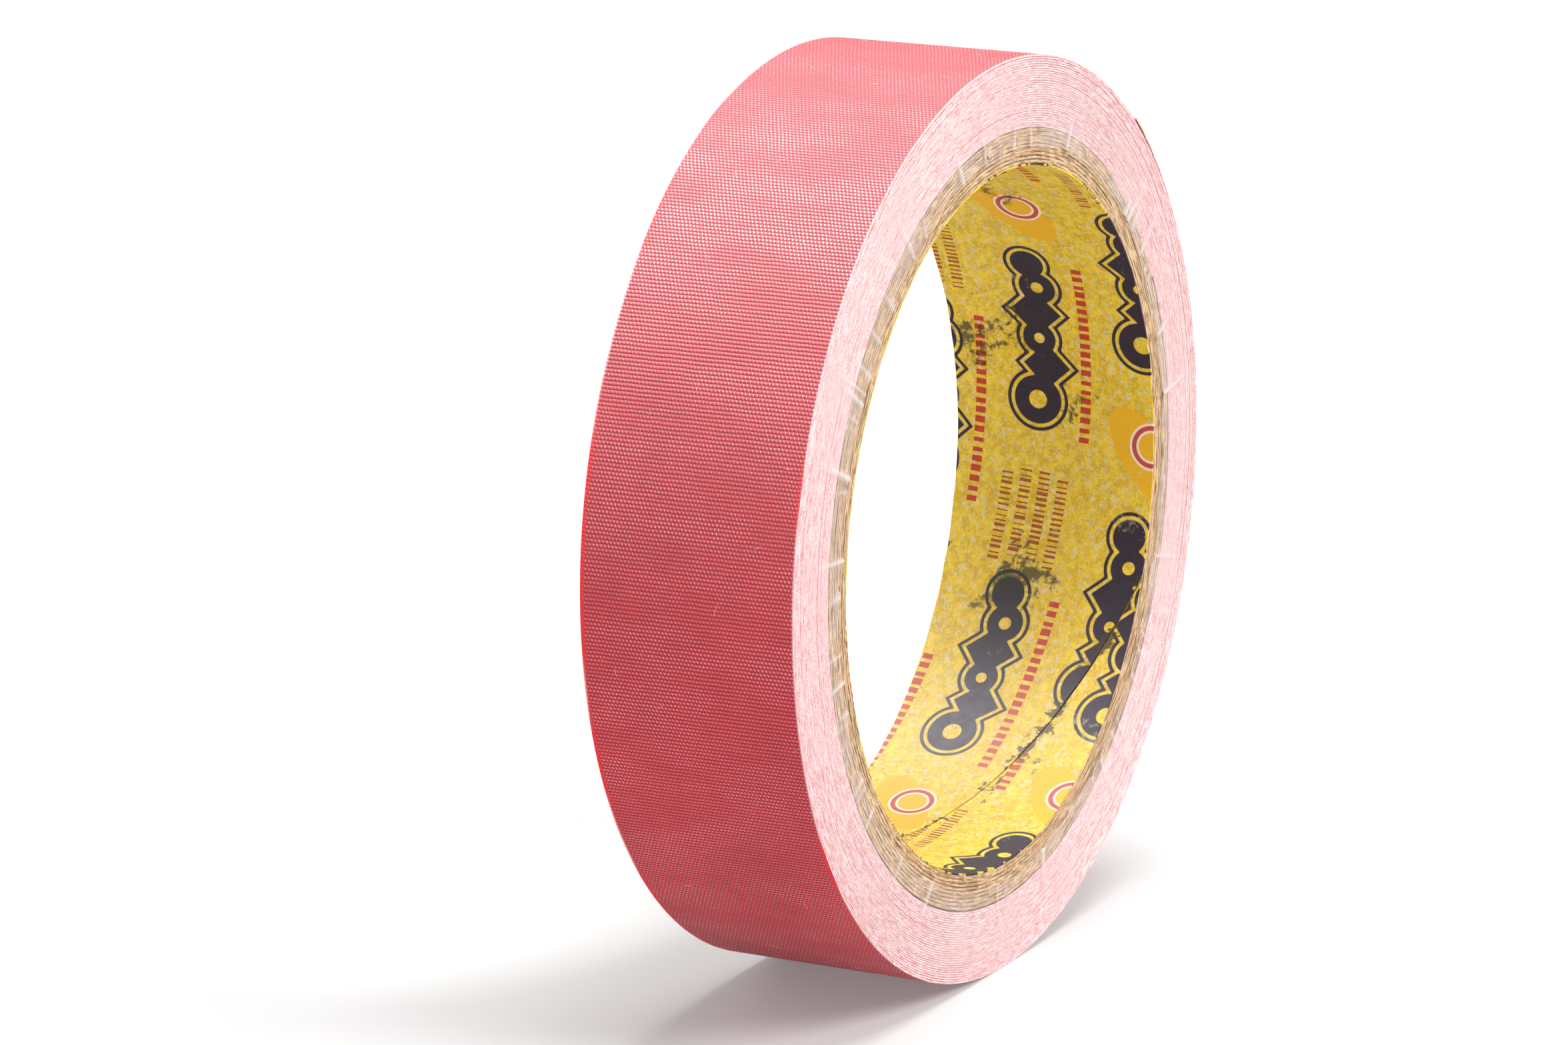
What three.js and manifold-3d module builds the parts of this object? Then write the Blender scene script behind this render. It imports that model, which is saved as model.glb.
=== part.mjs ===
// Roll of cloth adhesive tape on a spirally wound paper core.
// Millimetres, +Z up. The roll's axis is Y and the origin is its centre.
import * as THREE from 'three';
import { mergeVertices } from 'three/addons/utils/BufferGeometryUtils.js';
import Module from 'manifold-3d';

const wasm = await Module();
wasm.setup();

// ---- driving dimensions ----
const tapeWidth = 24.5;
const tapeThickness = 0.22;
const wrapGap = 0.03; // between one turn and the next
const wrapTurns = 31; // whole turns from the core to the root of the free end
const facetsPerTurn = 32; // flats round the roll, one of them centred underneath

const coreBore = 76.2; // inside diameter of the liner
const linerThickness = 0.18;
const plyThickness = 0.39;
const plyCount = 9;
const glueLine = 0.03; // between one ply and the next

const seamGap = 0.3; // the plies are butted strips, and this is the slit between two edges
const seamLeadDegrees = 113; // how far a seam turns while it crosses the width
const seamAngleAtMiddle = -78; // where the liner's seam crosses the middle of the width
const seamStaggerDegrees = 140; // from one ply's seam to the next one's

const endRootFacet = 2; // corner of the outline where the free end is hinged
const endFacets = 2; // length of the free end, in flats
const endGap = 0.05; // between the free end and the turn it belongs to

const filmThickness = 0.1;
const filmInset = 1.4; // from the tape's rim to the film's outer edge
const filmOverCore = 2.0; // how far the film reaches over the end of the core
const filmWave = 0.45; // how far its inner edge wanders to each side of that
const filmBroadWaves = { count: 5, share: 0.6 };
const filmFineWaves = { count: 11, share: 0.4 };
const filmEdgeSteps = 56;

// ---- derived dimensions ----
const facetAngle = (2 * Math.PI) / facetsPerTurn;
const wrapPitch = tapeThickness + wrapGap;
const linerOuter = coreBore / 2 + linerThickness;
const plyPitch = plyThickness + glueLine;
const coreOuter = linerOuter + plyCount * plyPitch;
const windingStart = coreOuter + wrapGap; // inside radius of the first turn
const wrapSteps = Math.round(wrapTurns * facetsPerTurn);
const startCorner = endRootFacet - wrapSteps; // corner of the outline where the strip begins
const tapeOuter = windingStart + wrapPitch * wrapTurns + tapeThickness;
const halfWidth = tapeWidth / 2;
const sameCorner = 1e-5; // two corners nearer than this are one

// ---- materials ----
const finish = (color, roughness, metalness = 0) =>
  new THREE.MeshStandardMaterial({ color, roughness, metalness });
const roseCloth = finish(0xc4585e, 0.7);
const kraftBoard = finish(0xcfa67e, 0.9);
const printedPaper = finish(0xe0c34a, 0.6);
const clearFilm = finish(0xf3e6e6, 0.15);
clearFilm.transparent = true;
clearFilm.opacity = 0.35;

// Corners of every outline lie on one set of angles, so each ring nests in the next.
const cornerAngle = (corner) => (corner + 0.5) * facetAngle;
const polar = (radius, angle) => new THREE.Vector2(radius * Math.cos(angle), radius * Math.sin(angle));

// An outline drawn in X and Z, given a width along Y and centred on middleY.
function acrossWidth(shape, width, middleY = 0) {
  const geometry = new THREE.ExtrudeGeometry(shape, { depth: width, bevelEnabled: false });
  geometry.rotateX(Math.PI / 2);
  geometry.translate(0, middleY + width / 2, 0);
  return geometry;
}

// Inside radius of the strip at a step. It climbs one pitch a turn, on every flat
// but the one underneath, which stays level so that the roll stands on all of it.
function stripRadius(step) {
  const levelCorner = (3 * facetsPerTurn) / 4;
  const offset = THREE.MathUtils.euclideanModulo(startCorner - levelCorner, facetsPerTurn);
  const levelFlats = Math.floor((step + offset) / facetsPerTurn);
  return windingStart + (wrapPitch * (step - levelFlats)) / (facetsPerTurn - 1);
}

// Part of the wound strip, from one step of the spiral to another.
function spiralStrip(firstStep, lastStep, startTrim = 0) {
  const inside = [];
  const outside = [];
  for (let step = firstStep; step <= lastStep; step += 1) {
    const radius = stripRadius(step);
    const trim = step === firstStep ? startTrim / radius : 0;
    const angle = cornerAngle(startCorner + step) + trim;
    inside.push(polar(radius, angle));
    outside.push(polar(radius + tapeThickness, angle));
  }
  return acrossWidth(new THREE.Shape([...outside, ...inside.reverse()]), tapeWidth);
}

function ring(inner, outer) {
  const corners = [...Array(facetsPerTurn).keys()].map(cornerAngle);
  const shape = new THREE.Shape(corners.map((angle) => polar(outer, angle)));
  shape.holes.push(new THREE.Path(corners.map((angle) => polar(inner, angle)).reverse()));
  return acrossWidth(shape, tapeWidth);
}

// A thin blade that follows a helix through the wall of the tube, past both ends.
function seamBlade(inner, outer, middleAngle) {
  const overrun = 1.1;
  const clearance = 1;
  const bladeSteps = 10;
  const sweep = THREE.MathUtils.degToRad(seamLeadDegrees) * overrun;
  const depth = outer - inner + 2 * clearance;
  const middleRadius = (inner + outer) / 2;
  const blade = new THREE.BoxGeometry(sweep, seamGap, depth, bladeSteps, 1, 1);
  const place = blade.attributes.position;
  for (let i = 0; i < place.count; i += 1) {
    const turn = place.getX(i);
    const angle = middleAngle + turn;
    const radius = middleRadius + place.getZ(i);
    const y = -place.getY(i) - (turn / sweep) * tapeWidth * overrun;
    place.setXYZ(i, radius * Math.cos(angle), y, radius * Math.sin(angle));
  }
  return blade;
}

function toSolid(geometry) {
  const bare = geometry.clone();
  bare.deleteAttribute('normal');
  bare.deleteAttribute('uv');
  const merged = mergeVertices(bare, sameCorner);
  return new wasm.Manifold(new wasm.Mesh({
    numProp: 3,
    vertProperties: new Float32Array(merged.attributes.position.array),
    triVerts: new Uint32Array(merged.index.array),
  }));
}

function toGeometry(solid) {
  const cut = solid.getMesh();
  const geometry = new THREE.BufferGeometry();
  geometry.setAttribute('position', new THREE.BufferAttribute(new Float32Array(cut.vertProperties), 3));
  geometry.setIndex(new THREE.BufferAttribute(new Uint32Array(cut.triVerts), 1));
  geometry.computeVertexNormals();
  return geometry;
}

// One paper strip of the core, open along its own seam. Layer 0 is the liner.
function corePly(inner, outer, layer) {
  const degrees = seamAngleAtMiddle + layer * seamStaggerDegrees;
  const blade = seamBlade(inner, outer, THREE.MathUtils.degToRad(degrees));
  return toGeometry(toSolid(ring(inner, outer)).subtract(toSolid(blade)));
}

// The clear film left on one side, from near the rim to part way over the core.
function filmCollar(side) {
  const outer = tapeOuter - wrapPitch - filmInset;
  const inner = coreOuter - filmOverCore;
  const angles = [...Array(filmEdgeSteps).keys()].map((step) => (step * 2 * Math.PI) / filmEdgeSteps);
  const wave = ({ count, share }, angle) => share * Math.sin(count * angle + side);
  const wander = (angle) => filmWave * (wave(filmBroadWaves, angle) + wave(filmFineWaves, angle));
  const shape = new THREE.Shape(angles.map((angle) => polar(outer, angle)));
  shape.holes.push(new THREE.Path(angles.map((angle) => polar(inner + wander(angle), angle)).reverse()));
  return acrossWidth(shape, filmThickness, side * (halfWidth + filmThickness / 2));
}

// ---- assembly ----
const roll = new THREE.Group();

function addPiece(name, geometry, material) {
  const mesh = new THREE.Mesh(geometry, material);
  mesh.name = name;
  roll.add(mesh);
}

addPiece('core_liner', corePly(coreBore / 2, linerOuter, 0), printedPaper);
for (let layer = 1; layer <= plyCount; layer += 1) {
  const outer = linerOuter + layer * plyPitch;
  addPiece(`core_ply_${layer}`, corePly(outer - plyThickness, outer, layer), kraftBoard);
}
addPiece('tape_winding', spiralStrip(0, wrapSteps), roseCloth);
addPiece('tape_free_end', spiralStrip(wrapSteps, wrapSteps + endFacets, endGap), roseCloth);
addPiece('film_collar_front', filmCollar(-1), clearFilm);
addPiece('film_collar_back', filmCollar(1), clearFilm);

export default roll;
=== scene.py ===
import math
import random

import bmesh
import bpy
from mathutils import Matrix, Vector, noise


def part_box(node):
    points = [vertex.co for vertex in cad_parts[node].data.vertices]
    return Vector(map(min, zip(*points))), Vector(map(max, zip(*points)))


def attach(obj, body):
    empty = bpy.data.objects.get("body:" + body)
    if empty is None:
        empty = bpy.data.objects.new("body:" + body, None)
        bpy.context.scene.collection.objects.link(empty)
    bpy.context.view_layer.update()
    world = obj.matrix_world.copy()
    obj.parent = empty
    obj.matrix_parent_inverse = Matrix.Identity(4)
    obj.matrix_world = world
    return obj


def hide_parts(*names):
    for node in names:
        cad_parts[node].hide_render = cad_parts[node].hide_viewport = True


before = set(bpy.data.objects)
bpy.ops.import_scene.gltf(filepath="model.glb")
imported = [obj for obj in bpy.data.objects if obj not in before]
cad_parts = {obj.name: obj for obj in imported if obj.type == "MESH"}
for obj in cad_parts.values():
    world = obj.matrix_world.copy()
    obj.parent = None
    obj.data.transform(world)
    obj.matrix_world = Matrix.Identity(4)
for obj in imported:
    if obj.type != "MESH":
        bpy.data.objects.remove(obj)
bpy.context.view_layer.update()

mm = 0.001
nearlyNone = 1e-3
sameSpot = 1e-7  # metres between two vertices that are one
fullTurn = 2 * math.pi
random.seed(31)

# sizes are in millimetres, apart from the studio's
facets = 32  # the CAD rings are outlines of this many flats


def ringRadius(node):
    # the corner radius of a CAD ring, from its box across the flats
    low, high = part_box(node)
    return (high[2] - low[2]) / 2 / math.cos(math.pi / facets) / mm


tape = {
    "width": (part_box("tape_winding")[1][1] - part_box("tape_winding")[0][1]) / mm,
    "thickness": 0.22,
    "pitch": 0.25,
    "turns": 31,
    "rootDegrees": 28.125,  # where the wound strip ends and the free end begins
    "endDegrees": 22.5,
    "coreGap": 0.03,
    "stepsPerTurn": 256,
    "cornerRound": 0.045,
    "proudEdge": 0.055,  # how far one turn's edge stands past the next
    "weld": 0.01,  # how near one turn's last vertices are to the next one's first
}
core = {
    "linerThickness": 0.18,
    "plyThickness": 0.39,
    "glueLine": 0.03,
    "plyCount": 9,
    "segments": 256,
    "seamGap": 0.22,
    "seamLeadDegrees": 113,
    "seamAtMiddle": -78,
    "seamStagger": 140,
    "seamSteps": 90,
    "seamWaver": 0.05,
    "roughEnd": 0.07,
}
half = tape["width"] / 2
coreOuter = ringRadius("core_ply_9")
linerOuter = ringRadius("core_liner")
windingStart = coreOuter + tape["coreGap"]


def stripRadius(turn):
    return windingStart + tape["pitch"] * turn


rollRadius = stripRadius(tape["turns"]) + tape["thickness"]
rootAngle = math.radians(tape["rootDegrees"])


view = {
    "azimuth": -62.6,
    "elevation": 13.72,
    "distance": 678.2,
    "lens": 144.5,
    "lookRight": 13.05,  # how far the roll stands to the right of the middle of the frame
    "lookUp": 1.56,
}


def viewAxes():
    azimuth, elevation = math.radians(view["azimuth"]), math.radians(view["elevation"])
    back = Vector((math.sin(azimuth) * math.cos(elevation),
                   -math.cos(azimuth) * math.cos(elevation), math.sin(elevation)))
    right = Vector((math.cos(azimuth), math.sin(azimuth), 0))
    return right, back.cross(right), back


def makeCamera():
    right, up, back = viewAxes()
    data = bpy.data.cameras.new("camera")
    data.lens = view["lens"]
    data.sensor_width = 36
    data.clip_start = 0.01
    camera = bpy.data.objects.new("camera", data)
    place = back * view["distance"] - right * view["lookRight"] - up * view["lookUp"]
    camera.matrix_world = Matrix.Translation(place * mm) @ Matrix((right, up, back)).transposed().to_4x4()
    bpy.context.scene.collection.objects.link(camera)
    bpy.context.scene.camera = camera


softboxes = {
    # direction towards the lamp, distance and size in metres, watts
    "keyFrontRight": {"towards": (0.15, -0.80, 0.62), "away": 3.0, "size": 1.6, "power": 80.0},
    "top": {"towards": (0.06, -0.10, 1.0), "away": 3.0, "size": 1.8, "power": 84.0},
    "leftFill": {"towards": (-0.95, 0.10, 0.07), "away": 3.0, "size": 2.0, "power": 45.0},
    "backFill": {"towards": (0.45, 0.85, 0.30), "away": 3.0, "size": 1.8, "power": 24.0},
    # seen only in highlights, it lights nothing by itself
    "sheenBack": {"towards": (0.03, 0.44, 0.88), "away": 3.0, "size": 2.2, "power": 370.0, "sheenOnly": True},
}
studio = {
    "worldStrength": 0.52,
    "floorTone": 0.50,
    "floorGlow": 0.15,
    "floorBounce": 0.43,  # how much light it throws back up under the roll
    "lampsFade": 0.6,  # metres from the roll, where the lamps begin to light the floor less
    "floorReach": 3.4,
    "floorHalf": 8.0,
    "floorSquares": 16,
}


def makeWorld():
    # white to look at, dimmer as a lamp
    world = bpy.data.worlds.new("studio")
    world.use_nodes = True
    tree = world.node_tree
    sky = tree.nodes["Background"].inputs
    sky["Color"].default_value = (1, 1, 1, 1)
    seen = tree.nodes.new("ShaderNodeLightPath").outputs["Is Camera Ray"]
    feed(tree, sky["Strength"], ramp(tree, seen, 0.0, 1.0, studio["worldStrength"], 1.0))
    return world


def makeLights():
    for name, box in softboxes.items():
        data = bpy.data.lights.new(name, "AREA")
        data.shape = "DISK"
        data.size = box["size"]
        data.energy = box["power"]
        lamp = bpy.data.objects.new(name, data)
        lamp.visible_diffuse = not box.get("sheenOnly", False)
        lamp.visible_camera = False
        towards = Vector(box["towards"]).normalized()
        lamp.location = towards * box["away"]
        lamp.rotation_euler = towards.to_track_quat("Z", "Y").to_euler()
        bpy.context.scene.collection.objects.link(lamp)
    bpy.context.scene.world = makeWorld()
    bpy.context.scene.view_settings.view_transform = "Standard"


def feed(tree, socket, value):
    if isinstance(value, bpy.types.NodeSocket):
        tree.links.new(value, socket)
    elif socket.type == "RGBA" and len(value) == 3:
        socket.default_value = (*value, 1)
    else:
        socket.default_value = value


def calc(tree, operation, *terms, clamp=False):
    node = tree.nodes.new("ShaderNodeMath")
    node.operation = operation
    node.use_clamp = clamp
    for socket, term in zip(node.inputs, terms):
        feed(tree, socket, term)
    return node.outputs[0]


def times(tree, first, second):
    return calc(tree, "MULTIPLY", first, second)


def plus(tree, first, second):
    return calc(tree, "ADD", first, second)


def minus(tree, first, second):
    return calc(tree, "SUBTRACT", first, second)


def fade(tree, value, start, end):
    # start where the value is 0, end where it is 1
    return calc(tree, "MULTIPLY_ADD", value, end - start, start)


def cells(tree, value, pitch):
    # which cell of this pitch the value falls in, and how far across it, from 0 to 1
    steps = calc(tree, "DIVIDE", value, pitch)
    return calc(tree, "FLOOR", steps), calc(tree, "FRACT", steps)


def mixColour(tree, share, first, second, blend="MIX"):
    node = tree.nodes.new("ShaderNodeMix")
    node.data_type = "RGBA"
    node.blend_type = blend
    feed(tree, node.inputs[0], share)
    feed(tree, node.inputs[6], first)
    feed(tree, node.inputs[7], second)
    return node.outputs[2]


def layered(tree, colour, colours, layers):
    # each layer over the last: its mask, how strong it is and the name of its colour
    for mask, strength, name in layers:
        colour = mixColour(tree, times(tree, mask, strength), colour, colours[name])
    return colour


def ramp(tree, value, low, high, start=0.0, end=1.0):
    node = tree.nodes.new("ShaderNodeMapRange")
    node.interpolation_type = "SMOOTHSTEP"
    for socket, term in zip(node.inputs, (value, low, high, start, end)):
        feed(tree, socket, term)
    return node.outputs[0]


def grainNoise(tree, place, scale, detail=3.0, roughness=0.6, distortion=0.0):
    node = tree.nodes.new("ShaderNodeTexNoise")
    feed(tree, node.inputs["Vector"], place)
    node.inputs["Scale"].default_value = scale
    node.inputs["Detail"].default_value = detail
    node.inputs["Roughness"].default_value = roughness
    node.inputs["Distortion"].default_value = distortion
    return node.outputs["Fac"]


def stripNoise(tree, place, along, across, detail=3.0):
    # as fine along the strip and across it as these two say
    node = tree.nodes.new("ShaderNodeMapping")
    feed(tree, node.inputs["Vector"], place)
    node.inputs["Scale"].default_value = (along, across, 1)
    return grainNoise(tree, node.outputs["Vector"], 1.0, detail)


def scaledBy(tree, place, factor):
    node = tree.nodes.new("ShaderNodeVectorMath")
    node.operation = "SCALE"
    feed(tree, node.inputs[0], place)
    feed(tree, node.inputs["Scale"], factor)
    return node.outputs[0]


def packVector(tree, x, y, z=0.0):
    node = tree.nodes.new("ShaderNodeCombineXYZ")
    for socket, term in zip(node.inputs, (x, y, z)):
        feed(tree, socket, term)
    return node.outputs[0]


def unpackVector(tree, vector):
    node = tree.nodes.new("ShaderNodeSeparateXYZ")
    feed(tree, node.inputs[0], vector)
    return node.outputs


def surfacePlace(tree):
    return tree.nodes.new("ShaderNodeTexCoord").outputs["Object"]


def stripPlace(tree):
    # millimetres along the strip and across it
    node = tree.nodes.new("ShaderNodeUVMap")
    node.uv_map = "strip"
    return node.outputs["UV"]


def rollRadiusAt(tree, place):
    # distance from the roll's axis, and the direction away from it
    x, y, z = unpackVector(tree, place)
    squares = plus(tree, times(tree, x, x), times(tree, z, z))
    radius = calc(tree, "SQRT", squares)
    return radius, calc(tree, "DIVIDE", x, radius), calc(tree, "DIVIDE", z, radius), y


def ringStreaks(tree, place, along, through, across):
    # noise drawn out round the roll: how fine it is along a turn, through the turns and across them
    radius, outX, outZ, y = rollRadiusAt(tree, place)
    depth = plus(tree, times(tree, radius, through), times(tree, y, across))
    ends = [times(tree, term, along) for term in (outX, outZ)]
    return grainNoise(tree, packVector(tree, *ends, depth), 1.0, 3.0, 0.6)


def bumped(tree, height, strength, distance):
    node = tree.nodes.new("ShaderNodeBump")
    node.inputs["Strength"].default_value = strength
    node.inputs["Distance"].default_value = distance
    feed(tree, node.inputs["Height"], height)
    return node.outputs["Normal"]


def setSockets(tree, shader, values):
    for label, value in values.items():
        feed(tree, shader.inputs[label], value)


def newMaterial(name):
    material = bpy.data.materials.new(name)
    material.use_nodes = True
    tree = material.node_tree
    return material, tree, tree.nodes["Principled BSDF"]


def newGroup(name, numbers, outputs):
    # every group takes a place and some numbers, and puts out masks and heights
    group = bpy.data.node_groups.new(name, "ShaderNodeTree")
    group.interface.new_socket("Place", in_out="INPUT", socket_type="NodeSocketVector")
    for label, value in numbers.items():
        socket = group.interface.new_socket(label, in_out="INPUT", socket_type="NodeSocketFloat")
        socket.default_value = value
    for label in outputs:
        group.interface.new_socket(label, in_out="OUTPUT", socket_type="NodeSocketFloat")
    return group, group.nodes.new("NodeGroupInput").outputs, group.nodes.new("NodeGroupOutput").inputs


def useGroup(tree, group, place, **values):
    node = tree.nodes.new("ShaderNodeGroup")
    node.node_tree = group
    feed(tree, node.inputs["Place"], place)
    for label, value in values.items():
        feed(tree, node.inputs[label], value)
    return node.outputs


weaving = {
    "weftPitch": 0.435,  # one ridge, across the tape
    "warpPitch": 0.2175,
    "twist": 0.7,
    "wander": 0.16,
    "lift": (0.55, 1.15),  # how high one crown stands and another
}


def makeWeaveGroup():
    # plain weave: Place.x runs round the roll and Place.y across the tape, in millimetres
    numbers = {"Weft": weaving["weftPitch"], "Warp": weaving["warpPitch"], "Twist": weaving["twist"]}
    group, given, out = newGroup("plainWeave", numbers, ("Height", "Crown", "Ridge"))
    wobble = stripNoise(group, given["Place"], 0.35, 0.35, 2.0)
    x, y, _ = unpackVector(group, given["Place"])
    wander = fade(group, wobble, -weaving["wander"] / 2, weaving["wander"] / 2)
    row, inRow = cells(group, plus(group, x, wander), given["Weft"])
    column, inColumn = cells(group, plus(group, y, wander), given["Warp"])
    inRow, inColumn = minus(group, inRow, 0.5), minus(group, inColumn, 0.5)
    leaning = plus(group, inColumn, times(group, inRow, given["Twist"]))
    odd = calc(group, "PINGPONG", plus(group, row, column), 1.0)
    over = minus(group, 1.0, odd)
    ridge = calc(group, "COSINE", times(group, inRow, math.pi))
    crest = times(group, leaning, leaning)
    crest = calc(group, "MULTIPLY_ADD", crest, -5.0, 1.0, clamp=True)
    crest = calc(group, "POWER", crest, 1.6)
    crown = times(group, times(group, crest, calc(group, "POWER", ridge, 2.2)), over)
    white = group.nodes.new("ShaderNodeTexWhiteNoise")
    feed(group, white.inputs["Vector"], packVector(group, row, column))
    lift = fade(group, white.outputs["Value"], *weaving["lift"])
    crown = times(group, crown, lift)
    feed(group, out["Height"], calc(group, "MAXIMUM", crown, times(group, ridge, 0.55)))
    feed(group, out["Crown"], crown)
    feed(group, out["Ridge"], ridge)
    return group


def makeFibreGroup():
    # short paper fibres and pale flecks: Place in metres
    group, given, out = newGroup("paperFibre", {"Fineness": 1.0}, ("Tone", "Speck"))
    scaled = scaledBy(group, given["Place"], given["Fineness"])
    coarse = grainNoise(group, scaled, 900.0, 4.0, 0.65, 0.4)
    fine = grainNoise(group, scaled, 4200.0, 2.0, 0.6)
    tone = plus(group, times(group, coarse, 0.6), times(group, fine, 0.4))
    feed(group, out["Tone"], tone)
    feed(group, out["Speck"], ramp(group, grainNoise(group, scaled, 2600.0, 3.0, 0.8), 0.62, 0.74))
    return group


def makeScuffGroup():
    # patches where something rubbed: 1 where marked
    group, given, out = newGroup("scuffs", {"Size": 1.0, "Amount": 0.5}, ("Mask",))
    scaled = scaledBy(group, given["Place"], calc(group, "DIVIDE", 1.0, given["Size"]))
    patches = grainNoise(group, scaled, 110.0, 2.0, 0.5, 0.6)
    grains = grainNoise(group, scaled, 1300.0, 3.0, 0.7)
    both = plus(group, times(group, patches, 0.7), times(group, grains, 0.3))
    edge = minus(group, 0.78, times(group, given["Amount"], 0.4))
    feed(group, out["Mask"], ramp(group, both, edge, plus(group, edge, 0.06)))
    return group


weaveGroup = makeWeaveGroup()
fibreGroup = makeFibreGroup()
scuffGroup = makeScuffGroup()
print("shared effects ready")


cloth = {
    "gap": (0.18, 0.002, 0.006),  # between two ridges, dark as painted shade in the hollows
    "ridge": (0.55, 0.036, 0.052),
    "crown": (0.88, 0.31, 0.35),  # where a thread stands highest: paler thread, partly a painted highlight
    "bareRim": (0.68, 0.012, 0.022),
    "frayedRim": (0.95, 0.62, 0.62),
    "blotches": (0.84, 1.24),  # how much darker and lighter they make it
    "streaks": (0.82, 1.18),
    "roughness": (0.66, 0.34),  # between the crowns and on them
    "relief": 0.11,
}


def makeRoseCloth():
    material, tree, shader = newMaterial("roseCloth")
    place = stripPlace(tree)
    weave = useGroup(tree, weaveGroup, place)
    blotch = stripNoise(tree, place, 0.05, 0.08, 4.0)
    streak = stripNoise(tree, place, 2.3, 0.12, 2.0)
    rubbing = stripNoise(tree, place, 0.22, 0.07)
    worn = ramp(tree, rubbing, 0.36, 0.62, 1.1, 0.45)
    fuzz = grainNoise(tree, place, 14.0, 2.0, 0.7)
    shine = times(tree, weave["Crown"], worn)
    # dark between the ridges: painted shade in the weave's hollows
    colour = mixColour(tree, weave["Ridge"], cloth["gap"], cloth["ridge"])
    # paler thread crowns, partly the threads' own paleness and partly a painted highlight
    colour = mixColour(tree, shine, colour, cloth["crown"])
    shade = times(tree, fade(tree, blotch, *cloth["blotches"]), fade(tree, streak, *cloth["streaks"]))
    colour = mixColour(tree, 1.0, colour, packVector(tree, shade, shade, shade), "MULTIPLY")
    _, y, _ = unpackVector(tree, place)
    # the rim is a bare red line in some places and frayed white in others
    out = plus(tree, calc(tree, "ABSOLUTE", y), times(tree, fuzz, 0.3))
    frayed = ramp(tree, stripNoise(tree, place, 0.022, 0.02), 0.43, 0.55)
    bare = times(tree, ramp(tree, out, half - 0.40, half - 0.24), minus(tree, 1.0, frayed))
    white = times(tree, ramp(tree, out, half - 0.16, half + 0.12, 0.0, 0.75), frayed)
    colour = mixColour(tree, bare, colour, cloth["bareRim"])
    colour = mixColour(tree, white, colour, cloth["frayedRim"])
    height = plus(tree, weave["Height"], times(tree, fuzz, 0.16))
    setSockets(tree, shader, {
        "Base Color": colour,
        "Roughness": fade(tree, shine, *cloth["roughness"]),
        "Normal": bumped(tree, height, 0.9, cloth["relief"] * mm),
        "Coat Weight": shine,
        "Coat Roughness": 0.35,
        "Specular IOR Level": 0.4,
        "Sheen Weight": 0.05,
        "Sheen Roughness": 0.4,
        "Sheen Tint": (1, 0.9, 0.9),
    })
    return material


slitEdge = {
    "adhesive": (0.67, 0.26, 0.27),
    "thread": (0.94, 0.70, 0.70),
    "stain": (0.84, 0.46, 0.46),
    "roughness": 0.6,
    "relief": 0.10,
}


def makeCutEdge():
    # white thread ends between pink adhesive, drawn out round the roll by the slitting blade
    material, tree, shader = newMaterial("cutTapeEdge")
    place = surfacePlace(tree)
    grains = grainNoise(tree, place, 3600.0, 3.0, 0.8)
    streaks = ringStreaks(tree, place, along=34.0, through=4200.0, across=900.0)
    broad = grainNoise(tree, place, 110.0, 3.0)
    tone = plus(tree, times(tree, grains, 0.5), times(tree, streaks, 0.5))
    colour = mixColour(tree, ramp(tree, tone, 0.38, 0.60), slitEdge["adhesive"], slitEdge["thread"])
    colour = mixColour(tree, ramp(tree, broad, 0.42, 0.7, 0.0, 0.4), colour, slitEdge["stain"])
    normal = bumped(tree, tone, 0.9, slitEdge["relief"] * mm)
    setSockets(tree, shader, {"Base Color": colour, "Roughness": slitEdge["roughness"], "Normal": normal})
    return material


adhesive = {
    "thin": (0.42, 0.20, 0.16),
    "thick": (0.54, 0.32, 0.26),
    "overRidge": (0.60, 0.20, 0.19),  # where the cloth shows through
    "roughness": (0.50, 0.70),
    "relief": 0.08,
}


def makeAdhesive():
    material, tree, shader = newMaterial("adhesiveFace")
    place = stripPlace(tree)
    weave = useGroup(tree, weaveGroup, place)
    ripples = stripNoise(tree, place, 0.5, 1.6)
    colour = mixColour(tree, ramp(tree, ripples, 0.3, 0.7), adhesive["thin"], adhesive["thick"])
    colour = mixColour(tree, times(tree, weave["Ridge"], 0.25), colour, adhesive["overRidge"])
    height = plus(tree, ripples, times(tree, weave["Ridge"], 0.3))
    setSockets(tree, shader, {
        "Base Color": colour,
        "Roughness": fade(tree, ripples, *adhesive["roughness"]),
        "Specular IOR Level": 0.25,
        "Normal": bumped(tree, height, 0.5, adhesive["relief"] * mm),
    })
    return material


board = {
    "dark": (0.27, 0.135, 0.055),
    "pale": (0.74, 0.52, 0.31),
    "stain": (0.46, 0.28, 0.14),
    "fleck": (0.88, 0.74, 0.56),
    "glue": (0.16, 0.075, 0.030),
    "scuff": (0.20, 0.10, 0.05),
    "roughness": 0.92,
    "relief": 0.22,
}


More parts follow.
